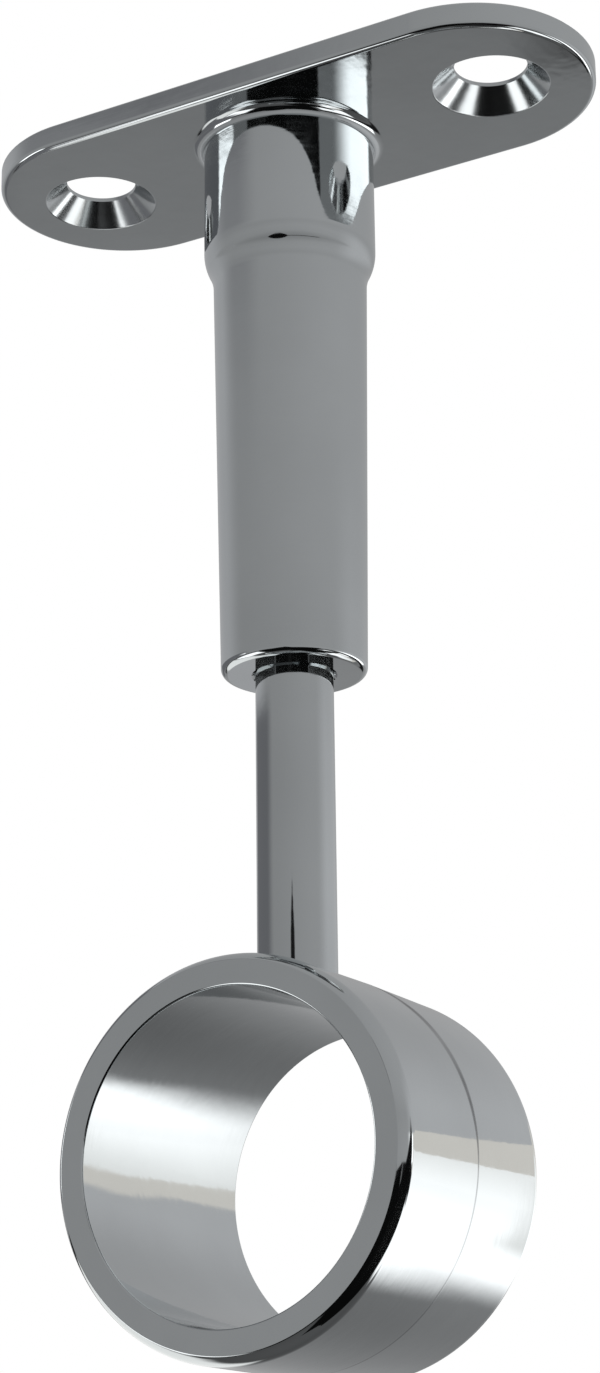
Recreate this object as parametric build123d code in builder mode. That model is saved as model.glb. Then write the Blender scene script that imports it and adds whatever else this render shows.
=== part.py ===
"""Centre pole bracket.

A chromed ceiling bracket that carries the middle of a curtain pole. The base is one casting: an
obround plate with two countersunk holes, a round boss and a long drafted sleeve. The ring is a
second casting with a smooth stem, which slides in the sleeve to set the drop. A grub screw in the
back of the sleeve locks the stem.

The origin is the centre of the plate's upper face, which lies on the ceiling. X runs along the
plate, Y along the pole and Z points up.
"""

import os
from math import radians, tan

from build123d import *

# Plate, in millimetres
plate_length = 56.5
plate_width = 21.5
plate_thickness = 2.2
plate_lower_chamfer = 0.4
plate_upper_chamfer = 0.2

# Two fixing holes for countersunk wood screws
hole_spacing = 39.4
screw_hole_diameter = 6.2
countersink_diameter = 9.9
countersink_angle = 90.0

# Boss under the plate, and the curved shoulder that steps down to the sleeve
boss_diameter = 14.7
boss_length = 10.4
boss_fillet = 1.0
shoulder_length = 3.4

# Sleeve, drafted so that the casting leaves its mould downwards
sleeve_top_diameter = 13.1
sleeve_mouth_diameter = 12.0
sleeve_length = 34.7
sleeve_mouth_chamfer = 0.5
bore_mouth_chamfer = 0.25

# Stem of the ring, and how it sits in the sleeve as drawn
stem_diameter = 6.4
stem_clearance = 0.06
stem_engagement = 24.0
stem_reach = 25.0
stem_lift_room = 14.5
stem_end_chamfer = 0.6

# Ring for the pole, with a parting line round its middle and draft to both faces. Polishing has
# curved its outer edges, which meet the flat faces in a crisp corner.
pole_diameter = 25.0
pole_clearance = 0.15
ring_wall = 2.75
ring_width = 22.4
ring_draft = 0.6
ring_edge_length = 1.4
ring_edge_drop = 0.7
ring_bore_chamfer = 0.15

# Grub screw that locks the stem
grub_diameter = 4.0
grub_thread_clearance = 0.04
grub_above_mouth = 8.0
grub_recess = 0.4
grub_tip_gap = 0.1
grub_tip_chamfer = 0.5
grub_rim_chamfer = 0.2
hex_key_size = 2.0
hex_socket_depth = 1.3

# Levels below the ceiling
underside_z = -plate_thickness
shoulder_top_z = underside_z - boss_length
sleeve_top_z = shoulder_top_z - shoulder_length
mouth_z = sleeve_top_z - sleeve_length

# Radii
boss_radius = boss_diameter / 2
sleeve_top_radius = sleeve_top_diameter / 2
sleeve_mouth_radius = sleeve_mouth_diameter / 2
stem_radius = stem_diameter / 2
socket_radius = stem_radius + stem_clearance
ring_bore_radius = pole_diameter / 2 + pole_clearance
ring_outer_radius = ring_bore_radius + ring_wall

# Stem and ring positions
socket_depth = stem_engagement + stem_lift_room
stem_top_z = mouth_z + stem_engagement
ring_centre_z = mouth_z - stem_reach - ring_outer_radius
stem_root_z = ring_centre_z + ring_bore_radius + ring_wall / 2

# Grub screw position: the sleeve's radius where the screw sits follows the draft
grub_z = mouth_z + grub_above_mouth
sleeve_draft = (sleeve_top_radius - sleeve_mouth_radius) / sleeve_length
sleeve_radius_at_grub = sleeve_mouth_radius + sleeve_draft * grub_above_mouth
grub_inner = stem_radius + grub_tip_gap
grub_outer = sleeve_radius_at_grub - grub_recess

os.makedirs("parts", exist_ok=True)

# Base: plate, boss and sleeve in one casting
underside = Plane((0, 0, underside_z), x_dir=(1, 0, 0), z_dir=(0, 0, -1))
grub_plane = Plane((0, 0, grub_z), x_dir=(1, 0, 0), z_dir=(0, 1, 0))

with BuildPart() as base_sleeve:
    with BuildSketch(Plane.XY):
        SlotOverall(plate_length, plate_width)
    extrude(amount=-plate_thickness)
    chamfer(base_sleeve.faces().sort_by(Axis.Z)[0].edges(), length=plate_lower_chamfer)
    chamfer(base_sleeve.faces().sort_by(Axis.Z)[-1].edges(), length=plate_upper_chamfer)

    # Boss, shoulder and sleeve turned about Z. Two equal arcs make the S of the shoulder.
    with BuildSketch(Plane.XZ):
        with BuildLine():
            shoulder_middle = (
                (boss_radius + sleeve_top_radius) / 2,
                (shoulder_top_z + sleeve_top_z) / 2,
            )
            Line((0, underside_z), (boss_radius, underside_z))
            boss_side = Line((boss_radius, underside_z), (boss_radius, shoulder_top_z))
            outward = TangentArc(boss_side @ 1, shoulder_middle, tangent=boss_side % 1)
            inward = TangentArc(outward @ 1, (sleeve_top_radius, sleeve_top_z), tangent=outward % 1)
            Polyline(inward @ 1, (sleeve_mouth_radius, mouth_z), (0, mouth_z), (0, underside_z))
        make_face()
    revolve(axis=Axis.Z)
    boss_root = (
        base_sleeve.edges()
        .filter_by(GeomType.CIRCLE)
        .filter_by(lambda e: abs(e.center(CenterOf.BOUNDING_BOX).Z - underside_z) < plate_thickness / 4)
        .filter_by(lambda e: abs(e.radius - boss_radius) < boss_fillet / 4)
    )
    fillet(boss_root, radius=boss_fillet)
    chamfer(base_sleeve.faces().sort_by(Axis.Z)[0].edges(), length=sleeve_mouth_chamfer)

    with Locations(underside):
        with GridLocations(hole_spacing, 0, 2, 1):
            CounterSinkHole(
                screw_hole_diameter / 2,
                countersink_diameter / 2,
                depth=plate_thickness,
                counter_sink_angle=countersink_angle,
            )

    # Blind socket for the stem, with a broken edge at the mouth
    with BuildSketch(Plane.XY.offset(mouth_z)):
        Circle(socket_radius)
    extrude(amount=socket_depth, mode=Mode.SUBTRACT)
    chamfer(
        base_sleeve.faces().sort_by(Axis.Z)[0].edges().sort_by(SortBy.RADIUS)[0],
        length=bore_mouth_chamfer,
    )

    # Tapped hole for the grub screw, from the socket out through the back of the sleeve
    with BuildSketch(grub_plane):
        Circle(grub_diameter / 2)
    extrude(amount=sleeve_top_radius, mode=Mode.SUBTRACT)

base_sleeve.part.label = "base_sleeve"
export_step(base_sleeve.part, "parts/base_sleeve.step")

# Ring and stem in one casting
ring_axis = Axis((0, 0, ring_centre_z), (0, 1, 0))

with BuildPart() as pole_ring:
    # Section through the ring's wall. Its crest is the parting line.
    with BuildSketch(Plane.YZ) as ring_section:
        face_y = ring_width / 2
        edge_y = face_y - ring_edge_length
        bore_level = ring_centre_z + ring_bore_radius
        crest_level = ring_centre_z + ring_outer_radius
        edge_level = crest_level - edge_y * tan(radians(ring_draft))
        with BuildLine():
            flank = Line((0, crest_level), (edge_y, edge_level))
            edge = TangentArc(flank @ 1, (face_y, edge_level - ring_edge_drop), tangent=flank % 1)
            Line(edge @ 1, (face_y, bore_level))
            mirror(about=Plane.YZ)
            Line((-face_y, bore_level), (face_y, bore_level))
        make_face()
        chamfer(ring_section.vertices().group_by(Axis.Y)[0], length=ring_bore_chamfer)
    revolve(axis=ring_axis)

    with BuildSketch(Plane.XY.offset(stem_root_z)):
        Circle(stem_radius)
    extrude(amount=stem_top_z - stem_root_z)
    chamfer(pole_ring.faces().sort_by(Axis.Z)[-1].edges(), length=stem_end_chamfer)

pole_ring.part.label = "pole_ring"
export_step(pole_ring.part, "parts/pole_ring.step")

# Grub screw with a hexagon socket
with BuildPart() as grub_screw:
    with BuildSketch(grub_plane.offset(grub_inner)):
        Circle(grub_diameter / 2 - grub_thread_clearance)
    extrude(amount=grub_outer - grub_inner)
    chamfer(grub_screw.faces().sort_by(Axis.Y)[0].edges(), length=grub_tip_chamfer)
    chamfer(grub_screw.faces().sort_by(Axis.Y)[-1].edges(), length=grub_rim_chamfer)
    with BuildSketch(grub_plane.offset(grub_outer)):
        RegularPolygon(radius=hex_key_size / 2, side_count=6, major_radius=False)
    extrude(amount=-hex_socket_depth, mode=Mode.SUBTRACT)

grub_screw.part.label = "grub_screw"
export_step(grub_screw.part, "parts/grub_screw.step")
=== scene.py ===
"""Centre pole bracket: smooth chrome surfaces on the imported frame, a light tent and the camera."""

from math import atan, cos, radians, sin, tan

import bpy
import numpy as np
from mathutils import Matrix


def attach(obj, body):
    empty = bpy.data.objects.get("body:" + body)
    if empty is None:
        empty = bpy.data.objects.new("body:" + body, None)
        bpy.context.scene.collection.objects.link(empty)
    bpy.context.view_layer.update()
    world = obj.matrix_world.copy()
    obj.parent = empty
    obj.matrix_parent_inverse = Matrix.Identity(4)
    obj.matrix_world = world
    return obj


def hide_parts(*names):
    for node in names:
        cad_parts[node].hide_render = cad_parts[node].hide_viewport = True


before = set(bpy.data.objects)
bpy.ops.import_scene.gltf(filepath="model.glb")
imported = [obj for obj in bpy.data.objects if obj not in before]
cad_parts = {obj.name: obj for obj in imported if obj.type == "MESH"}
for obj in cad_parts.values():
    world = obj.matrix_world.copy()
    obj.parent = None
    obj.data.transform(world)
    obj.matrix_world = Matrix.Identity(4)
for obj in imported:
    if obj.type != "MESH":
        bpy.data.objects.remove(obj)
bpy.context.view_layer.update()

# A millimetre in metres, and the step in millimetres on which corners that meet are matched
MM = 0.001
WELD = 1.37e-4

# Plate, in millimetres
plate_length = 56.5
plate_width = 21.5
plate_thickness = 2.2
plate_lower_round = 0.5
plate_upper_chamfer = 0.2
hole_spacing = 39.4
screw_hole_radius = 3.1
countersink_radius = 4.95
countersink_rim_round = 0.15

# Boss, shoulder and sleeve
boss_radius = 7.35
boss_length = 10.4
boss_fillet = 1.0
shoulder_length = 3.4
sleeve_top_radius = 6.55
sleeve_mouth_radius = 6.0
sleeve_length = 34.7
sleeve_mouth_round = 0.6
socket_radius = 3.26
socket_depth = 38.5
bore_mouth_chamfer = 0.25

# Stem and ring
stem_radius = 3.2
stem_engagement = 24.0
stem_reach = 25.0
stem_end_chamfer = 0.6
stem_root_round = 0.25
ring_bore_radius = 12.65
ring_outer_radius = 15.4
ring_width = 22.4
ring_draft = radians(0.6)
ring_edge_length = 1.4
ring_edge_drop = 0.7
ring_corner_round = 0.12
ring_bore_round = 0.18

# How far the parting line fades out from its plane, at the ring's sides and at its top; the wider reach at
# the top holds painted shade of the step between the halves
parting_reach_side = 0.16
parting_and_shade_reach_top = 0.85

# Grub screw and its tapped hole
tapped_hole_radius = 2.0
grub_radius = 1.96
grub_above_mouth = 8.0
grub_recess = 0.4
grub_tip_gap = 0.1
grub_tip_chamfer = 0.5
grub_rim_chamfer = 0.2
hex_key_size = 2.0
hex_socket_depth = 1.3
thread_pitch = 0.7
thread_depth = 0.22
thread_run_out = 0.15

# Levels
underside_z = -plate_thickness
shoulder_top_z = underside_z - boss_length
sleeve_top_z = shoulder_top_z - shoulder_length
mouth_z = sleeve_top_z - sleeve_length
stem_top_z = mouth_z + stem_engagement
ring_centre_z = mouth_z - stem_reach - ring_outer_radius
grub_z = mouth_z + grub_above_mouth
sleeve_draft = (sleeve_top_radius - sleeve_mouth_radius) / sleeve_length


# Profiles: runs of two-dimensional points with the normal at each point

def straight(start, end, steps=1):
    """Straight run; its normal is the direction of travel turned a quarter to the left."""
    start, end = np.array(start, float), np.array(end, float)
    share = np.linspace(0, 1, steps + 1)[:, None]
    travel = (end - start) / np.linalg.norm(end - start)
    return start + (end - start) * share, np.tile((-travel[1], travel[0]), (steps + 1, 1))


def rounded(centre, radius, first, last, steps, side=1):
    """Arc about a centre between two angles in degrees; side -1 makes it a hollow."""
    turn = np.radians(np.linspace(first, last, steps + 1))
    radial = np.stack([np.cos(turn), np.sin(turn)], -1)
    return np.array(centre) + radius * radial, side * radial


def turned(run, angles, centre_x=0.0):
    """Run of (radius, height) carried round an upright axis: x and y are radius times cosine and sine."""
    points, normals = run
    c, s = np.cos(angles)[:, None], np.sin(angles)[:, None]
    place = np.stack([centre_x + points[:, 0] * c, points[:, 0] * s, points[:, 1] + 0 * c], -1)
    facing = np.stack([normals[:, 0] * c, normals[:, 0] * s, normals[:, 1] + 0 * c], -1)
    return place, facing


def rolled(run, angles):
    """Run of (radius, y) carried round the pole's axis, with the angle measured from the top."""
    points, normals = run
    c, s = np.cos(angles)[:, None], np.sin(angles)[:, None]
    place = np.stack([points[:, 0] * s, points[:, 1] + 0 * c, ring_centre_z + points[:, 0] * c], -1)
    facing = np.stack([normals[:, 0] * s, normals[:, 1] + 0 * c, normals[:, 0] * c], -1)
    return place, facing


def bored(run, angles):
    """Run of (radius, y) carried round the grub screw's axis."""
    points, normals = run
    c, s = np.cos(angles)[:, None], np.sin(angles)[:, None]
    place = np.stack([points[:, 0] * c, points[:, 1] + 0 * c, grub_z + points[:, 0] * s], -1)
    facing = np.stack([normals[:, 0] * c, normals[:, 1] + 0 * c, normals[:, 0] * s], -1)
    return place, facing


def mirrored(patch):
    """The same grid on the other side of the plane y = 0."""
    flip = np.array([1, -1, 1])
    return patch[0] * flip, patch[1] * flip


def unit(vectors):
    """Vectors scaled to length one."""
    return vectors / np.linalg.norm(vectors, axis=-1, keepdims=True)


def shell(name, patches):
    """One closed mesh from grids in millimetres. Corners that meet are shared, each quad is wound to
    face its normals, a quad with a repeated corner becomes a triangle, and normals are kept exactly."""
    corners, facings = [], []
    for place, facing in patches:
        quad = [
            np.stack([grid[:-1, :-1], grid[1:, :-1], grid[1:, 1:], grid[:-1, 1:]], 2).reshape(-1, 4, 3)
            for grid in (place, facing)
        ]
        across = np.cross(quad[0][:, 2] - quad[0][:, 0], quad[0][:, 3] - quad[0][:, 1])
        if (across * quad[1].sum(1)).sum() < 0:
            quad = [q[:, ::-1] for q in quad]
        corners.append(quad[0])
        facings.append(quad[1])
    corners = np.concatenate(corners)
    facings = unit(np.concatenate(facings))
    keys = np.round(corners.reshape(-1, 3) / WELD).astype(np.int64)
    _, first, index = np.unique(keys, axis=0, return_index=True, return_inverse=True)
    quads = index.reshape(-1, 4)
    kept = quads != np.roll(quads, -1, axis=1)
    whole = kept.sum(1) >= 3
    quads, kept, facings = quads[whole], kept[whole], facings[whole]
    ends = np.cumsum(kept.sum(1))[:-1]
    faces = np.split(quads[kept], ends)
    mesh = bpy.data.meshes.new(name)
    mesh.from_pydata((corners.reshape(-1, 3)[first] * MM).tolist(), [], [f.tolist() for f in faces])
    mesh.polygons.foreach_set("use_smooth", np.ones(len(faces), bool))
    mesh.normals_split_custom_set(facings[kept].tolist())
    piece = bpy.data.objects.new(name, mesh)
    bpy.context.scene.collection.objects.link(piece)
    return piece


# Plate: outlines are rows of (anchor x, direction x, direction y), so that a distance from the
# centre line scales the direction. The plate is divided beside the boss into three cells.

half_straight = (plate_length - plate_width) / 2
divide_x = 11.5
arc_turn = np.radians(np.linspace(-90, 90, 121))
short_x = np.linspace(divide_x, half_straight, 18)[:-1]
middle_x = np.linspace(divide_x, -divide_x, 73)
divide_share = np.linspace(1, -1, 65)


def rows(anchor, x, y):
    """Outline rows from an anchor and a direction, any of them a single number."""
    return np.stack(np.broadcast_arrays(np.asarray(anchor, float), x, y), -1)


end_rows = np.concatenate([
    rows(short_x, 0.0, -1.0),
    rows(half_straight, np.cos(arc_turn), np.sin(arc_turn)),
    rows(short_x[::-1], 0.0, 1.0),
])
middle_rows = rows(middle_x, 0.0, 1.0)
divide_rows = rows(divide_x, 0.0, divide_share)
end_cell = np.concatenate([end_rows, divide_rows[1:]])
middle_cell = np.concatenate([
    middle_rows, -divide_rows[::-1][1:], -middle_rows[1:], divide_rows[::-1][1:]
])
rim_rows = np.concatenate([end_rows, middle_rows[1:], -end_rows[1:], -middle_rows[1:]])


def outline(cell, inset):
    """Points of an outline that lies a distance inside the plate's edge."""
    reach = plate_width / 2 - inset
    return np.stack([cell[:, 0] + reach * cell[:, 1], reach * cell[:, 2]], -1)


def flat_cell(cell, inset, centre_x, radius, angles, z, way):
    """Flat ground between a circle and a cell's outline: each point is the circle's point at an
    angle moved by a share of the way to the outline's point."""
    ring = np.stack([centre_x + radius * np.cos(angles), radius * np.sin(angles)], -1)
    share = np.linspace(0, 1, 3)[None, :, None]
    ground = ring[:, None] + (outline(cell, inset) - ring)[:, None] * share
    place = np.concatenate([ground, np.full(ground.shape[:2] + (1,), z)], -1)
    return place, np.broadcast_to(np.array((0.0, 0.0, way)), place.shape)


def cell_angles(cell, centre_x):
    """Directions from a centre to a cell's outline on the plate's underside."""
    points = outline(cell, plate_lower_round)
    return np.unwrap(np.arctan2(points[:, 1], points[:, 0] - centre_x))


def plate_rim():
    """Edge of the plate: a profile of (inset, height) carried along the obround outline."""
    lower = plate_lower_round
    upper = plate_upper_chamfer
    runs = [
        rounded((lower, underside_z + lower), lower, -90, -180, 14),
        straight((0, underside_z + lower), (0, -upper), 2),
        straight((0, -upper), (upper, 0)),
    ]
    outward = unit(np.stack([rim_rows[:, 1], rim_rows[:, 2]], -1))
    patches = []
    for points, normals in runs:
        reach = plate_width / 2 - points[:, 0]
        x = rim_rows[:, :1] + rim_rows[:, 1:2] * reach
        y = rim_rows[:, 2:] * reach
        z = np.broadcast_to(points[:, 1], x.shape)
        side = -normals[:, 0]
        facing = np.stack([
            outward[:, :1] * side, outward[:, 1:] * side, np.broadcast_to(normals[:, 1], x.shape)
        ], -1)
        patches.append((np.stack([x, y, z], -1), facing))
    return patches


def screw_hole(centre_x, cell):
    """Countersunk hole: a rounded rim, a cone of 90 degrees and a short straight hole."""
    angles = cell_angles(cell, centre_x)
    rim = countersink_rim_round
    rim_radius = countersink_radius + rim * tan(radians(22.5))
    cone_start = (rim_radius - rim * sin(radians(45)), underside_z + rim - rim * cos(radians(45)))
    cone_end = (screw_hole_radius, underside_z + countersink_radius - screw_hole_radius)
    runs = [
        rounded((rim_radius, underside_z + rim), rim, -90, -135, 5),
        straight(cone_start, cone_end, 4),
        straight(cone_end, (screw_hole_radius, 0)),
    ]
    patches = [turned(run, angles, centre_x) for run in runs]
    patches.append(flat_cell(cell, plate_lower_round, centre_x, rim_radius, angles, underside_z, -1.0))
    patches.append(flat_cell(cell, plate_upper_chamfer, centre_x, screw_hole_radius, angles, 0.0, 1.0))
    return patches


def sleeve_radius(z):
    """Outer radius of the drafted sleeve at a height."""
    return sleeve_mouth_radius + sleeve_draft * (z - mouth_z)


# Angles round the boss and sleeve, the band of the wall round the tapped hole, and the angles of that
# band that face the back
boss_angles = cell_angles(middle_cell, 0.0)
band_half_height = 3.2
band_half_turn = radians(43)
band_low = grub_z - band_half_height
band_high = grub_z + band_half_height
band_z = np.linspace(band_low, band_high, 17)
from_back = np.remainder(boss_angles - radians(90) + np.pi, 2 * np.pi) - np.pi
back = np.flatnonzero(np.abs(from_back) < band_half_turn)


def walled(radius_of, z_levels, angles, side):
    """Drafted wall between heights: the radius is a function of the height; side -1 faces the axis."""
    slope = (radius_of(z_levels[-1]) - radius_of(z_levels[0])) / (z_levels[-1] - z_levels[0])
    normal = side * np.array((1.0, -slope)) / np.hypot(1.0, slope)
    points = np.stack([radius_of(z_levels), z_levels], -1)
    return turned((points, np.tile(normal, (len(points), 1))), angles)


def pierced_wall(radius_of, side):
    """Wall of the band round the tapped hole: angle and height run straight from the hole's edge to
    the cell's outline, and the radius follows the wall."""
    angles = boss_angles[back]
    edge_angle = np.concatenate([
        angles, np.full(len(band_z) - 1, angles[-1]), angles[::-1][1:], np.full(len(band_z) - 1, angles[0])
    ])
    edge_z = np.concatenate([
        np.full(len(angles), band_low), band_z[1:], np.full(len(angles) - 1, band_high), band_z[::-1][1:]
    ])
    turn = np.arctan2(edge_z - grub_z, sleeve_radius(edge_z) * np.cos(edge_angle))
    hole_z = grub_z + tapped_hole_radius * np.sin(turn)
    hole_x = tapped_hole_radius * np.cos(turn)
    hole_angle = np.arccos(hole_x / radius_of(hole_z))
    start = angles[len(angles) // 2] - np.remainder(angles[len(angles) // 2], 2 * np.pi)
    share = np.linspace(0, 1, 7)[None]
    angle = (hole_angle + start)[:, None] * (1 - share) + edge_angle[:, None] * share
    z = hole_z[:, None] * (1 - share) + edge_z[:, None] * share
    radius = radius_of(z)
    slope = (radius_of(band_high) - radius_of(band_low)) / (band_high - band_low)
    place = np.stack([radius * np.cos(angle), radius * np.sin(angle), z], -1)
    facing = side * np.stack([np.cos(angle), np.sin(angle), np.full_like(z, -slope)], -1)
    return place, facing, turn


def base_patches():
    """Plate, boss, shoulder, drafted sleeve, socket and tapped hole as one closed skin."""
    boss_round = boss_radius + boss_fillet
    shoulder_step = boss_radius - sleeve_top_radius
    shoulder_arc = (shoulder_step ** 2 + shoulder_length ** 2) / (4 * shoulder_step)
    shoulder_turn = np.degrees(np.arcsin(shoulder_length / 2 / shoulder_arc))
    slope = np.degrees(atan(sleeve_draft))
    mouth_round_z = mouth_z + sleeve_mouth_round
    mouth_round_radius = sleeve_radius(mouth_round_z) - sleeve_mouth_round / cos(atan(sleeve_draft))
    sleeve_end_z = mouth_round_z - sleeve_mouth_round * sin(atan(sleeve_draft))
    chamfer_radius = socket_radius + bore_mouth_chamfer
    socket_z = mouth_z + socket_depth
    runs = [
        rounded((boss_round, underside_z - boss_fillet), boss_fillet, 90, 180, 20, -1),
        straight((boss_radius, underside_z - boss_fillet), (boss_radius, shoulder_top_z), 4),
        rounded((boss_radius - shoulder_arc, shoulder_top_z), shoulder_arc, 0, -shoulder_turn, 14),
        rounded((sleeve_top_radius + shoulder_arc, sleeve_top_z), shoulder_arc,
                180 - shoulder_turn, 180, 14, -1),
        rounded((mouth_round_radius, mouth_round_z), sleeve_mouth_round, -slope, -90, 16),
        straight((mouth_round_radius, mouth_z), (chamfer_radius, mouth_z), 2),
        straight((chamfer_radius, mouth_z), (socket_radius, mouth_z + bore_mouth_chamfer)),
        straight((socket_radius, socket_z), (0, socket_z)),
    ]
    patches = [turned(run, boss_angles) for run in runs]
    upper_z = np.linspace(sleeve_top_z, band_high, 9)
    lower_z = np.linspace(band_low, sleeve_end_z, 4)
    around = boss_angles[back[-1]:]
    around = np.concatenate([around, boss_angles[1:back[0] + 1] + 2 * np.pi])
    bore = lambda z: np.full_like(z, socket_radius, dtype=float)
    patches.append(walled(sleeve_radius, upper_z, boss_angles, 1))
    patches.append(walled(sleeve_radius, lower_z, boss_angles, 1))
    patches.append(walled(sleeve_radius, band_z, around, 1))
    patches.append(walled(bore, np.array((socket_z, band_high)), boss_angles, -1))
    patches.append(walled(bore, np.array((band_low, mouth_z + bore_mouth_chamfer)), boss_angles, -1))
    patches.append(walled(bore, band_z, around, -1))
    outer_place, outer_facing, turn = pierced_wall(sleeve_radius, 1)
    inner_place, inner_facing, _ = pierced_wall(bore, -1)
    patches.append((outer_place, outer_facing))
    patches.append((inner_place, inner_facing))
    wall = np.stack([outer_place[:, 0], inner_place[:, 0]], 1)
    inward = np.stack([-np.cos(turn), 0 * turn, -np.sin(turn)], -1)
    patches.append((wall, np.stack([inward, inward], 1)))
    lower = flat_cell(middle_cell, plate_lower_round, 0.0, boss_round, boss_angles, underside_z, -1.0)
    upper = flat_cell(middle_cell, plate_upper_chamfer, 0.0, 0.0, boss_angles, 0.0, 1.0)
    patches += [lower, upper]
    patches += screw_hole(hole_spacing / 2, end_cell)
    patches += screw_hole(-hole_spacing / 2, -end_cell)
    patches += plate_rim()
    return patches


# Ring and stem: the crown is the part of the ring's outside that the stem stands on

ring_angles = np.radians(np.linspace(0, 360, 241))
crown_half_turn = radians(24)
crown_half_width = 6.0
crown_y = np.linspace(0, crown_half_width, 9)
crown_angles = np.linspace(crown_half_turn, -crown_half_turn, 33)
open_angles = np.linspace(crown_half_turn, 2 * np.pi - crown_half_turn, 209)


def crown_radius(y):
    """Radius of the drafted outside of the ring at a distance from its parting line."""
    return ring_outer_radius - np.abs(y) * tan(ring_draft)


def crown_point(angle, y):
    """Point and normal on the drafted outside of the ring."""
    radius = crown_radius(y)
    place = np.stack([radius * np.sin(angle), y, ring_centre_z + radius * np.cos(angle)], -1)
    facing = np.stack([
        np.sin(angle) * cos(ring_draft), np.full_like(y, sin(ring_draft)), np.cos(angle) * cos(ring_draft)
    ], -1)
    return place, facing


def crown_cell():
    """Half of the ring's outside round the stem: angle and y run straight from the stem's root to
    the cell's outline."""
    edge_angle = np.concatenate([
        np.full(len(crown_y), crown_half_turn), crown_angles[1:-1], np.full(len(crown_y), -crown_half_turn)
    ])
    edge_y = np.concatenate([crown_y, np.full(len(crown_angles) - 2, crown_y[-1]), crown_y[::-1]])
    turn = np.arctan2(edge_y, crown_radius(edge_y) * np.sin(edge_angle))
    foot = stem_radius + stem_root_round
    foot_y = foot * np.sin(turn)
    foot_angle = np.arcsin(foot * np.cos(turn) / crown_radius(foot_y))
    share = np.linspace(0, 1, 9)[None]
    angle = foot_angle[:, None] * (1 - share) + edge_angle[:, None] * share
    y = foot_y[:, None] * (1 - share) + edge_y[:, None] * share
    place, facing = crown_point(angle, y)
    return place, facing, turn


def stem_half(turn, foot, foot_facing):
    """Half of the stem: a curved root that leaves the ring along its surface and rises into the
    stem, then the straight stem up to its chamfer."""
    radial = np.stack([np.cos(turn), np.sin(turn), 0 * turn], -1)
    y = stem_radius * np.sin(turn)
    on_ring = ring_centre_z + np.sqrt(crown_radius(y) ** 2 - (stem_radius * np.cos(turn)) ** 2)
    corner = radial * stem_radius + np.stack([0 * turn, 0 * turn, on_ring], -1)
    rise = corner + np.array((0, 0, stem_root_round))
    share = np.linspace(0, 1, 9)[None, :, None]
    root = (1 - share) ** 2 * foot[:, None] + 2 * share * (1 - share) * corner[:, None]
    root = root + share ** 2 * rise[:, None]
    root_facing = unit((1 - share) * foot_facing[:, None] + share * radial[:, None])
    top = radial * stem_radius + np.array((0, 0, stem_top_z - stem_end_chamfer))
    side_share = np.linspace(0, 1, 7)[None, :, None]
    side = rise[:, None] * (1 - side_share) + top[:, None] * side_share
    side_facing = np.broadcast_to(radial[:, None], side.shape)
    end_radius = stem_radius - stem_end_chamfer
    chamfer = straight((stem_radius, stem_top_z - stem_end_chamfer), (end_radius, stem_top_z))
    chamfer = (chamfer[0], -chamfer[1])
    end = (np.array(((end_radius, stem_top_z), (0.0, stem_top_z))), np.array(((0.0, 1.0), (0.0, 1.0))))
    return [(root, root_facing), (side, side_facing), turned(chamfer, turn), turned(end, turn)]


def ring_profile():
    """Half of the ring's section from the bore to the stem's band, as runs of (radius, y). The outer
    edge is an arc tangent to the drafted flank that falls to the face. Small rounds break its
    corners with the face and the bore's corner."""
    face_y = ring_width / 2
    flank = np.array((crown_radius(face_y - ring_edge_length), face_y - ring_edge_length))
    across = np.array((cos(ring_draft), sin(ring_draft)))
    chord = np.array((-ring_edge_drop, ring_edge_length))
    edge_radius = -chord @ chord / (2 * chord @ across)
    centre = flank - edge_radius * across
    corner = ring_corner_round
    corner_turn = np.arcsin((face_y - corner - centre[1]) / (edge_radius - corner))
    corner_centre = centre + (edge_radius - corner) * np.array((cos(corner_turn), sin(corner_turn)))
    bore = ring_bore_round
    bore_centre = (ring_bore_radius + bore, face_y - bore)
    return [
        straight((ring_bore_radius, 0), (ring_bore_radius, face_y - bore), 6),
        rounded(bore_centre, bore, 180, 90, 6),
        straight((bore_centre[0], face_y), (corner_centre[0], face_y), 2),
        rounded(corner_centre, corner, 90, np.degrees(corner_turn), 6),
        rounded(centre, edge_radius, np.degrees(corner_turn), np.degrees(ring_draft), 20),
        straight(flank, (crown_radius(crown_half_width), crown_half_width), 4),
    ]


def ring_patches():
    """Ring of two drafted halves that meet at the parting line, with the stem on its crown."""
    halves = [rolled(run, ring_angles) for run in ring_profile()]
    angle, y = np.meshgrid(open_angles, crown_y, indexing="ij")
    halves.append(crown_point(angle, y))
    place, facing, turn = crown_cell()
    halves.append((place, facing))
    halves += stem_half(turn, place[:, 0], facing[:, 0])
    return halves + [mirrored(patch) for patch in halves]


# Grub screw

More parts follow.
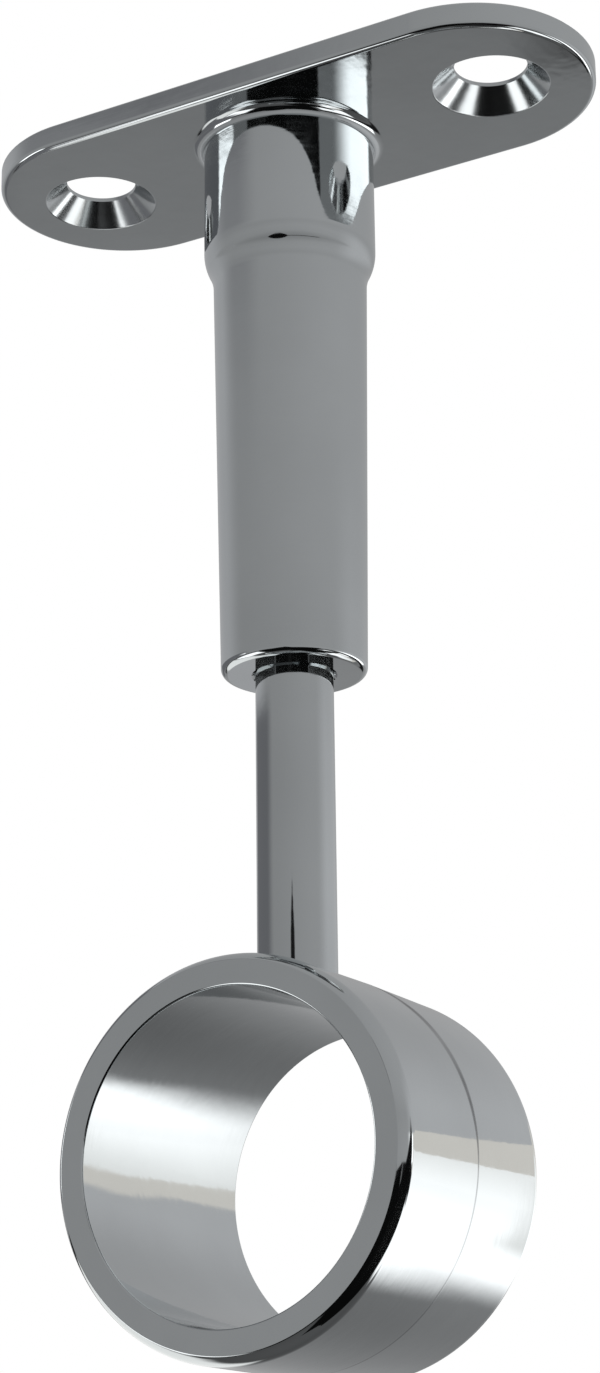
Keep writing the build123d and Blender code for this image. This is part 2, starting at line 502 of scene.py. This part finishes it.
def grub_patches():
    """Socket set screw: a pointed thread whose radius falls with the distance from its helix, a
    chamfered tip and rim, and a hexagon socket whose walls run from corner to corner."""
    inner = stem_radius + grub_tip_gap
    outer = sleeve_radius(grub_z) - grub_recess
    sides = 6
    per_side = 24
    angles = np.radians(np.linspace(0, 360, sides * per_side + 1))
    side_y = np.linspace(inner + grub_tip_chamfer, outer - grub_rim_chamfer, 41)
    angle, y = np.meshgrid(angles, side_y, indexing="ij")
    wave = np.abs(np.remainder(y / thread_pitch - angle / (2 * np.pi), 1.0) - 0.5) * 2
    run_out = np.clip(np.minimum(y - side_y[0], side_y[-1] - y) / thread_run_out, 0, 1)
    radius = grub_radius - thread_depth * wave * run_out
    thread = np.stack([radius * np.cos(angle), y, grub_z + radius * np.sin(angle)], -1)
    slope = np.gradient(radius, axis=1) / np.gradient(y, axis=1)
    thread_facing = unit(np.stack([np.cos(angle), -slope, np.sin(angle)], -1))
    tip = straight((0, inner), (grub_radius - grub_tip_chamfer, inner))
    tip_side = straight((grub_radius - grub_tip_chamfer, inner), (grub_radius, side_y[0]))
    rim = straight((grub_radius, side_y[-1]), (grub_radius - grub_rim_chamfer, outer))
    runs = [(points, -normals) for points, normals in (tip, tip_side, rim)]
    patches = [bored(run, angles) for run in runs]
    patches.append((thread, thread_facing))
    sector = np.remainder(angles + radians(30), radians(60)) - radians(30)
    hexagon = hex_key_size / 2 / np.cos(sector)
    key = np.stack([hexagon * np.cos(angles), 0 * angles, hexagon * np.sin(angles)], -1)
    edge_radius = grub_radius - grub_rim_chamfer
    edge = np.stack([edge_radius * np.cos(angles), 0 * angles, edge_radius * np.sin(angles)], -1)
    mouth = np.array((0, outer, grub_z))
    floor = np.array((0, outer - hex_socket_depth, grub_z))
    centre = np.broadcast_to(floor, key.shape)
    front = np.stack([edge + mouth, key + mouth], 1)
    bottom = np.stack([key + floor, centre], 1)
    for grid in (front, bottom):
        patches.append((grid, np.broadcast_to(np.array((0.0, 1.0, 0.0)), grid.shape)))
    twice_round = np.concatenate([key, key[1:]])
    for side in range(sides):
        start = side * per_side + per_side // 2
        ends = twice_round[start:start + per_side + 1]
        wall = np.stack([ends + mouth, ends + floor], 1)
        middle = radians(360 / sides * (side + 1))
        inward = np.array((-cos(middle), 0.0, -sin(middle)))
        patches.append((wall, np.broadcast_to(inward, wall.shape)))
    return patches


base_chrome_piece = shell("base_sleeve_chrome", base_patches())
ring_chrome_piece = shell("pole_ring_chrome", ring_patches())
grub_piece = shell("grub_screw_steel", grub_patches())


# Finishes

def finish_nodes(name):
    """New node material and its principled shader."""
    material = bpy.data.materials.new(name)
    material.use_nodes = True
    return material, material.node_tree, material.node_tree.nodes["Principled BSDF"]


def noise(tree, vector, scale, detail):
    """Cloudy pattern between 0 and 1; its scale is in cells to the metre."""
    node = tree.nodes.new("ShaderNodeTexNoise")
    node.inputs["Scale"].default_value = scale
    node.inputs["Detail"].default_value = detail
    tree.links.new(vector, node.inputs["Vector"])
    return node.outputs["Fac"]


def ranged(tree, value, low, high, first, last):
    """Value carried from the span low to high onto the span first to last, and held at its ends."""
    node = tree.nodes.new("ShaderNodeMapRange")
    for socket, number in zip(("From Min", "From Max", "To Min", "To Max"), (low, high, first, last)):
        node.inputs[socket].default_value = number
    tree.links.new(value, node.inputs["Value"])
    return node.outputs["Result"]


def joined(tree, operation, first, second):
    """Two values put together by an operation of arithmetic; the second may be a plain number."""
    node = tree.nodes.new("ShaderNodeMath")
    node.operation = operation
    tree.links.new(first, node.inputs[0])
    if isinstance(second, float):
        node.inputs[1].default_value = second
    else:
        tree.links.new(second, node.inputs[1])
    return node.outputs["Value"]


def vector_math(tree, operation, vector, by=(0.0, 0.0, 0.0)):
    """Vector put through an operation, with a fixed second vector where the operation takes one. A
    length or a dot product comes out as a value."""
    node = tree.nodes.new("ShaderNodeVectorMath")
    node.operation = operation
    node.inputs[1].default_value = by
    tree.links.new(vector, node.inputs[0])
    return node.outputs["Value" if operation in ("LENGTH", "DOT_PRODUCT") else "Vector"]


def separated(tree, vector):
    """The x, y and z of a vector."""
    node = tree.nodes.new("ShaderNodeSeparateXYZ")
    tree.links.new(vector, node.inputs["Vector"])
    return node.outputs["X"], node.outputs["Y"], node.outputs["Z"]


def parting_line_and_shade(tree, place):
    """1 on a fine line round the ring's outside and 0 elsewhere: near the plane y = 0, at the ring's
    outer radius from the pole's axis. The line is partly the seam itself and partly painted shade of
    the step where the two halves meet: it is wider and darker on the upper half, and fainter here and
    there."""
    from_axis = vector_math(tree, "SUBTRACT", place, (0.0, 0.0, ring_centre_z * MM))
    radius = vector_math(tree, "LENGTH", vector_math(tree, "MULTIPLY", from_axis, (1.0, 0.0, 1.0)))
    _, y, z = separated(tree, from_axis)
    # Painted shade of the step between the halves: the line widens towards the top and is darker on the
    # upper half
    reach = ranged(tree, z, 0.0, 13.0 * MM, parting_reach_side * MM, parting_and_shade_reach_top * MM)
    off_plane = joined(tree, "DIVIDE", joined(tree, "ABSOLUTE", y, 0.0), reach)
    line = ranged(tree, off_plane, 0.35, 1.0, 1.0, 0.0)
    depth = ranged(tree, z, -8.0 * MM, 8.0 * MM, 0.5, 1.0)
    patchy = ranged(tree, noise(tree, place, 150.0, 2.0), 0.35, 0.6, 0.45, 1.0)
    outside = joined(tree, "GREATER_THAN", radius, (ring_outer_radius - 0.5) * MM)
    on_ring = joined(tree, "LESS_THAN", radius, (ring_outer_radius + 0.1) * MM)
    strength = joined(tree, "MULTIPLY", depth, patchy)
    region = joined(tree, "MULTIPLY", outside, on_ring)
    return joined(tree, "MULTIPLY", joined(tree, "MULTIPLY", line, strength), region)


def countersunk(tree, place):
    """1 inside the two countersinks and 0 elsewhere: within their radius of a hole's axis, and below
    the plate's upper face."""
    folded = vector_math(tree, "ABSOLUTE", place)
    from_hole = vector_math(tree, "SUBTRACT", folded, (hole_spacing / 2 * MM, 0.0, 0.0))
    radius = vector_math(tree, "LENGTH", vector_math(tree, "MULTIPLY", from_hole, (1.0, 1.0, 0.0)))
    _, _, z = separated(tree, place)
    near_hole = joined(tree, "LESS_THAN", radius, countersink_radius * MM)
    below_top = joined(tree, "LESS_THAN", z, -plate_upper_chamfer / 2 * MM)
    return joined(tree, "MULTIPLY", near_hole, below_top)


def chrome(name, grain, parting):
    """Plated casting: a mirror with a faint orange peel, polishing haze that comes and goes, and fine
    buffing lines drawn out along the grain. On the ring a rough, dark line shows where the two halves
    of the mould met; its darkness is partly painted shade of the step between the halves. On the base
    the countersinks, which the buffing wheel doesn't reach, are satin."""
    material, tree, shader = finish_nodes(name)
    new, link = tree.nodes.new, tree.links.new
    shader.inputs["Metallic"].default_value = 1.0
    place = new("ShaderNodeTexCoord").outputs["Object"]
    haze = noise(tree, place, 90.0, 5.0)
    peel = noise(tree, place, 420.0, 2.0)
    drawn = new("ShaderNodeMapping")
    drawn.inputs["Scale"].default_value = grain
    link(place, drawn.inputs["Vector"])
    buffing = noise(tree, drawn.outputs["Vector"], 160.0, 3.0)
    haze_and_shade = ranged(tree, haze, 0.3, 0.7, 0.0, 0.07)
    rough = ranged(tree, haze, 0.0, 1.0, 0.03, 0.085)
    rough = joined(tree, "ADD", rough, ranged(tree, buffing, 0.5, 0.75, 0.0, 0.05))
    relief = joined(tree, "ADD", peel, joined(tree, "MULTIPLY", buffing, 0.25))
    if parting:
        # The parting line darkens the tint: partly the seam, partly painted shade of the step between the
        # ring's halves
        line = parting_line_and_shade(tree, place)
        haze_and_shade = joined(tree, "MAXIMUM", haze_and_shade, joined(tree, "MULTIPLY", line, 0.85))
        rough = joined(tree, "ADD", rough, joined(tree, "MULTIPLY", line, 0.25))
        relief = joined(tree, "SUBTRACT", relief, line)
    else:
        rough = joined(tree, "MAXIMUM", rough, joined(tree, "MULTIPLY", countersunk(tree, place), 0.15))
    tint = new("ShaderNodeValToRGB")
    tint.color_ramp.elements[0].color = (0.634, 0.664, 0.674, 1.0)
    tint.color_ramp.elements[1].color = (0.06, 0.06, 0.065, 1.0)
    link(haze_and_shade, tint.inputs["Fac"])
    link(tint.outputs["Color"], shader.inputs["Base Color"])
    bump = new("ShaderNodeBump")
    bump.inputs["Strength"].default_value = 0.05
    bump.inputs["Distance"].default_value = 0.2 * MM
    link(relief, bump.inputs["Height"])
    link(bump.outputs["Normal"], shader.inputs["Normal"])
    link(rough, shader.inputs["Roughness"])
    return material


def plated_steel(name):
    """Zinc plated screw: grey metal, duller than the chrome, with blotches in its plating."""
    material, tree, shader = finish_nodes(name)
    new, link = tree.nodes.new, tree.links.new
    shader.inputs["Metallic"].default_value = 1.0
    place = new("ShaderNodeTexCoord").outputs["Object"]
    blotch = noise(tree, place, 900.0, 4.0)
    tint = new("ShaderNodeValToRGB")
    tint.color_ramp.elements[0].color = (0.20, 0.20, 0.21, 1.0)
    tint.color_ramp.elements[1].color = (0.42, 0.42, 0.43, 1.0)
    link(blotch, tint.inputs["Fac"])
    link(tint.outputs["Color"], shader.inputs["Base Color"])
    link(ranged(tree, blotch, 0.0, 1.0, 0.25, 0.45), shader.inputs["Roughness"])
    return material


base_chrome_piece.data.materials.append(chrome("base_chrome", (1.0, 1.0, 14.0), False))
ring_chrome_piece.data.materials.append(chrome("ring_chrome", (1.0, 14.0, 1.0), True))
grub_piece.data.materials.append(plated_steel("screw_steel"))

for piece, body, node, slot in (
    (base_chrome_piece, "base", "base_sleeve", "base_chrome"),
    (ring_chrome_piece, "ring", "pole_ring", "ring_chrome"),
    (grub_piece, "base", "grub_screw", "screw_steel"),
):
    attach(piece, body)
    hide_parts(node)


# Camera, below and in front of the bracket

camera_data = bpy.data.cameras.new("camera")
camera_data.sensor_fit = "VERTICAL"
camera_data.sensor_height = 36.0
camera_data.lens = 73.27
camera_data.clip_start = 0.01
camera = bpy.data.objects.new("camera", camera_data)
bpy.context.scene.collection.objects.link(camera)
camera_place = (0.10875, -0.18722, -0.12288)
heading = radians(30.035)
pitch = radians(90 + 18.215)
roll = radians(-0.669)
camera.matrix_world = (
    Matrix.Translation(camera_place)
    @ Matrix.Rotation(heading, 4, "Z")
    @ Matrix.Rotation(pitch, 4, "X")
    @ Matrix.Rotation(roll, 4, "Z")
)
bpy.context.scene.camera = camera


# Studio: everything round the bracket is placed by its azimuth from the camera, positive to the right

tent_radius = 1200.0


def glow(name, colour):
    """Plain light of one colour."""
    material = bpy.data.materials.new(name)
    material.use_nodes = True
    tree = material.node_tree
    tree.nodes.clear()
    light = tree.nodes.new("ShaderNodeEmission")
    light.inputs["Color"].default_value = (*colour, 1.0)
    out = tree.nodes.new("ShaderNodeOutputMaterial")
    tree.links.new(light.outputs["Emission"], out.inputs["Surface"])
    return material


def reflected_only(piece):
    """Stage piece that shows in the chrome and nowhere else."""
    for ray in ("visible_camera", "visible_diffuse", "visible_shadow", "visible_transmission"):
        setattr(piece, ray, False)


def fade(depth, width):
    """Smooth rise from 0 at an edge to 1 at a depth inside it; an edge of no width is sharp."""
    share = np.clip(depth / max(width, 1e-6), 0, 1)
    return share * share * (3 - 2 * share)


def card(name, distance, levels, left, right, colour, soft=(0.0, 0.0, 0.0, 0.0)):
    """Sheet bent round the bracket's axis at a distance. Its left and right edges are azimuths in
    degrees: one for all heights, or one for each level, with straight lines between the levels. Its
    light fades into clear air at the left and the right in degrees, and at the bottom and the top in
    millimetres."""
    left, right = (np.broadcast_to(edge, len(levels)) for edge in (left, right))
    height = np.unique(np.concatenate([np.linspace(levels[0], levels[-1], 33), levels]))
    share = np.linspace(0, 1, 49)[:, None]
    first, last = np.interp(height, levels, left), np.interp(height, levels, right)
    turn = heading - radians(90) + np.radians(first + (last - first) * share)
    tall = np.broadcast_to(height, turn.shape)
    place = np.stack([distance * np.cos(turn), distance * np.sin(turn), tall], -1)
    inward = np.stack([-np.cos(turn), -np.sin(turn), 0 * turn], -1)
    piece = shell(name, [(place, inward)])
    mesh = piece.data
    corners = np.empty(3 * len(mesh.vertices))
    mesh.vertices.foreach_get("co", corners)
    x, y, z = corners.reshape(-1, 3).T / MM
    azimuth = np.degrees(np.arctan2(y, x) - heading) + 90
    azimuth = np.remainder(azimuth + 180, 360) - 180
    cover = fade(azimuth - np.interp(z, levels, left), soft[0])
    cover = cover * fade(np.interp(z, levels, right) - azimuth, soft[1])
    cover = cover * fade(z - levels[0], soft[2]) * fade(levels[-1] - z, soft[3])
    mesh.attributes.new("cover", "FLOAT", "POINT").data.foreach_set("value", cover)
    material = glow(name, colour)
    tree = material.node_tree
    covered = tree.nodes.new("ShaderNodeAttribute")
    covered.attribute_name = "cover"
    clear = tree.nodes.new("ShaderNodeBsdfTransparent")
    mix = tree.nodes.new("ShaderNodeMixShader")
    tree.links.new(covered.outputs["Fac"], mix.inputs["Fac"])
    tree.links.new(clear.outputs["BSDF"], mix.inputs[1])
    tree.links.new(tree.nodes["Emission"].outputs["Emission"], mix.inputs[2])
    tree.links.new(mix.outputs["Shader"], tree.nodes["Material Output"].inputs["Surface"])
    mesh.materials.append(material)
    reflected_only(piece)


def tent_light():
    """Light of the tent: a ramp by height from a dark floor to grey walls, lighter on the right."""
    material = glow("tent_light", (1.0, 1.0, 1.0))
    tree = material.node_tree
    new, link = tree.nodes.new, tree.links.new
    place = new("ShaderNodeTexCoord").outputs["Object"]
    direction = vector_math(tree, "NORMALIZE", place)
    _, _, height = separated(tree, direction)
    ramp = new("ShaderNodeValToRGB")
    stops = (
        (0.0, 0.1), (0.07, 0.085), (0.15, 0.1), (0.25, 0.23), (0.30, 0.275),
        (0.40, 0.36), (0.5, 0.375), (0.62, 0.35), (0.69, 0.378), (1.0, 0.38),
    )
    while len(ramp.color_ramp.elements) < len(stops):
        ramp.color_ramp.elements.new(0.5)
    for stop, (where, grey) in zip(ramp.color_ramp.elements, stops):
        stop.position = where
        stop.color = (grey, grey, grey * 1.01, 1.0)
    link(ranged(tree, height, -1.0, 1.0, 0.0, 1.0), ramp.inputs["Fac"])
    sideways = vector_math(tree, "DOT_PRODUCT", direction, (cos(heading), sin(heading), 0.0))
    lift = ranged(tree, sideways, -1.0, 1.0, 0.93, 1.17)
    light = tree.nodes["Emission"]
    link(ramp.outputs["Color"], light.inputs["Color"])
    link(lift, light.inputs["Strength"])
    return material


def tent_patch():
    """Sphere about the bracket: azimuth and elevation on a grid, seen from inside."""
    turn = np.radians(np.linspace(0, 360, 97))[:, None]
    rise = np.radians(np.linspace(-90, 90, 49))[None]
    radial = np.stack([
        np.cos(turn) * np.cos(rise), np.sin(turn) * np.cos(rise), np.sin(rise) + 0 * turn
    ], -1)
    return tent_radius * radial, -radial


tent = shell("tent", [tent_patch()])
tent.data.materials.append(tent_light())
reflected_only(tent)

bright = (2.4, 2.4, 2.4)
white = (1.7, 1.7, 1.7)
veil = (1.1, 1.1, 1.08)
cream = (0.83, 0.79, 0.735)
pale = (0.56, 0.56, 0.57)
glimmer = (0.45, 0.45, 0.46)
dusk = (0.25, 0.25, 0.26)
shade = (0.17, 0.17, 0.18)
dark = (0.012, 0.012, 0.012)
black = (0.004, 0.004, 0.004)

# White panel with a cream border, seen in the ring's outside and in its bore
card("ring_rim", 44.5, (-107.0, -88.0), 110.0, 120.5, veil, (5.0, 3.0, 4.0, 2.0))
card("ring_panel", 45.0,
     (-136.0, -122.0, -118.0, -114.0, -111.0, -109.0, -107.0,
      -104.0, -101.0, -98.5, -88.5, -88.0, -85.0, -82.5),
     (79.0, 79.0, 79.0, 79.0, 79.0, 79.0, 79.0, 79.0, 79.0, 79.0, 79.0, 113.0, 115.0, 117.0),
     (124.0, 128.0, 129.0, 133.0, 138.0, 143.0, 146.0, 149.0, 153.0, 156.0, 150.0, 146.0, 138.0, 132.0),
     white, (3.0, 19.0, 10.0, 20.0))
card("ring_veil", 45.5,
     (-102.0, -88.5, -88.0, -86.3, -85.0, -82.5),
     (80.0, 80.0, 113.0, 114.0, 115.0, 117.0),
     (150.0, 144.0, 142.0, 135.0, 130.0, 125.0),
     veil, (2.0, 2.0, 8.0, 1.8))
card("ring_border", 46.0,
     (-96.0, -85.5, -84.0, -83.0, -82.0, -81.0, -79.0, -76.0),
     (76.0, 76.0, 76.0, 90.0, 96.0, 117.0, 118.0, 119.0),
     (152.0, 148.0, 142.0, 139.0, 135.5, 133.5, 131.5, 128.0),
     cream, (2.0, 3.0, 0.0, 2.6))

# Panels seen in the boss, the countersinks and the ring's lower edge
card("boss_panel", 145.0, (-95.0, -64.0), 60.0, 140.0, bright, (34.0, 8.0, 3.0, 4.0))
card("left_panel", 145.0, (-81.0, -46.0), -109.0, -77.0, bright, (4.0, 4.0, 3.0, 12.0))
card("left_foot", 145.0, (-260.0, -122.0), -112.0, -58.0, white, (6.0, 6.0, 40.0, 6.0))
card("right_foot", 145.0, (-260.0, -131.0), 46.0, 108.0, white, (6.0, 6.0, 40.0, 6.0))
card("left_low", 150.0, (-330.0, -106.0), -178.0, -110.0, veil, (8.0, 8.0, 80.0, 10.0))

# Soft shades and glows that round the boss, the sleeve, the plate's edge, the stem and the mouth
card("left_shade", 150.0, (-84.0, -46.0), -165.0, -105.0, shade, (4.0, 4.0, 4.0, 8.0))
card("left_dusk", 146.0, (5.0, 150.0), -125.0, -40.0, dusk, (35.0, 35.0, 80.0, 10.0))
card("left_glow", 220.0, (-30.0, 150.0), -178.0, -85.0, glimmer, (20.0, 40.0, 20.0, 60.0))
card("edge_dusk", 145.0, (68.0, 140.0), -100.0, -50.0, shade, (18.0, 18.0, 12.0, 10.0))
card("stem_shade", 60.0, (-67.5, -33.0), -150.0, -66.0, shade, (6.0, 26.0, 2.0, 4.0))
card("back_glow", 221.0, (-70.0, 70.0), 60.0, 178.0, pale, (40.0, 40.0, 20.0, 90.0))
card("mouth_glow", 60.0, (-80.0, -62.0), -179.5, -168.0, glimmer, (0.0, 4.0, 4.0, 4.0))

# Dark sheets that give the mouth, the ring's edge, the stem's slit and the boss their black
card("dark_left", 149.0, (-112.0, -96.0), -168.0, -56.0, dark, (6.0, 4.0, 6.0, 2.0))
card("dark_right", 152.0, (-130.0, -96.0), 40.0, 168.0, dark, (4.0, 6.0, 8.0, 2.0))
card("dark_side", 60.0,
     (-420.0, -180.0, -115.0, -100.0, -82.0, -74.0),
     (-25.0, -10.0, 10.0, 40.0, 66.0, 72.0),
     79.0, black, (3.0, 3.0, 0.0, 2.0))
card("dark_slit", 60.0, (-72.0, -60.0, -53.0), (-20.0, -20.0, -14.0), (-6.0, -6.0, -12.0),
     dark, (3.0, 3.0, 0.0, 3.0))
card("dark_front", 209.0,
     (-420.0, -110.0, -109.0, -92.0, -77.0),
     (-58.0, -58.0, -31.0, -26.0, -18.0),
     (42.0, 42.0, -2.0, -7.0, -15.0), black)
card("dark_corner", 208.0, (-112.0, -109.0, -106.0, -102.0, -98.0), (-4.0, 4.0, 20.0, 32.0, 40.0),
     42.0, black)

# Pale floor, a soft lamp and a white room
floor_z = -900.0
reach = np.array((-20000.0, 20000.0))
floor_x, floor_y = np.meshgrid(reach, reach, indexing="ij")
floor_grid = np.stack([floor_x, floor_y, np.full((2, 2), floor_z)], -1)
floor = shell("floor", [(floor_grid, np.broadcast_to(np.array((0.0, 0.0, 1.0)), floor_grid.shape))])
floor_material, _, floor_shader = finish_nodes("floor_pale")
floor_shader.inputs["Base Color"].default_value = (0.82, 0.82, 0.82, 1.0)
floor_shader.inputs["Roughness"].default_value = 0.9
floor.data.materials.append(floor_material)
floor.visible_glossy = False

lamp_data = bpy.data.lights.new("soft_lamp", "AREA")
lamp_data.shape = "DISK"
lamp_data.size = 0.5
lamp_data.energy = 3.0
lamp = bpy.data.objects.new("soft_lamp", lamp_data)
lamp.location = (0.15, -0.1, 0.7)
lamp.visible_glossy = False
bpy.context.scene.collection.objects.link(lamp)

world = bpy.data.worlds.new("studio")
bpy.context.scene.world = world
world.use_nodes = True
world.node_tree.nodes["Background"].inputs["Color"].default_value = (1.0, 1.0, 1.0, 1.0)
world.node_tree.nodes["Background"].inputs["Strength"].default_value = 1.0

scene = bpy.context.scene
scene.view_settings.view_transform = "Standard"
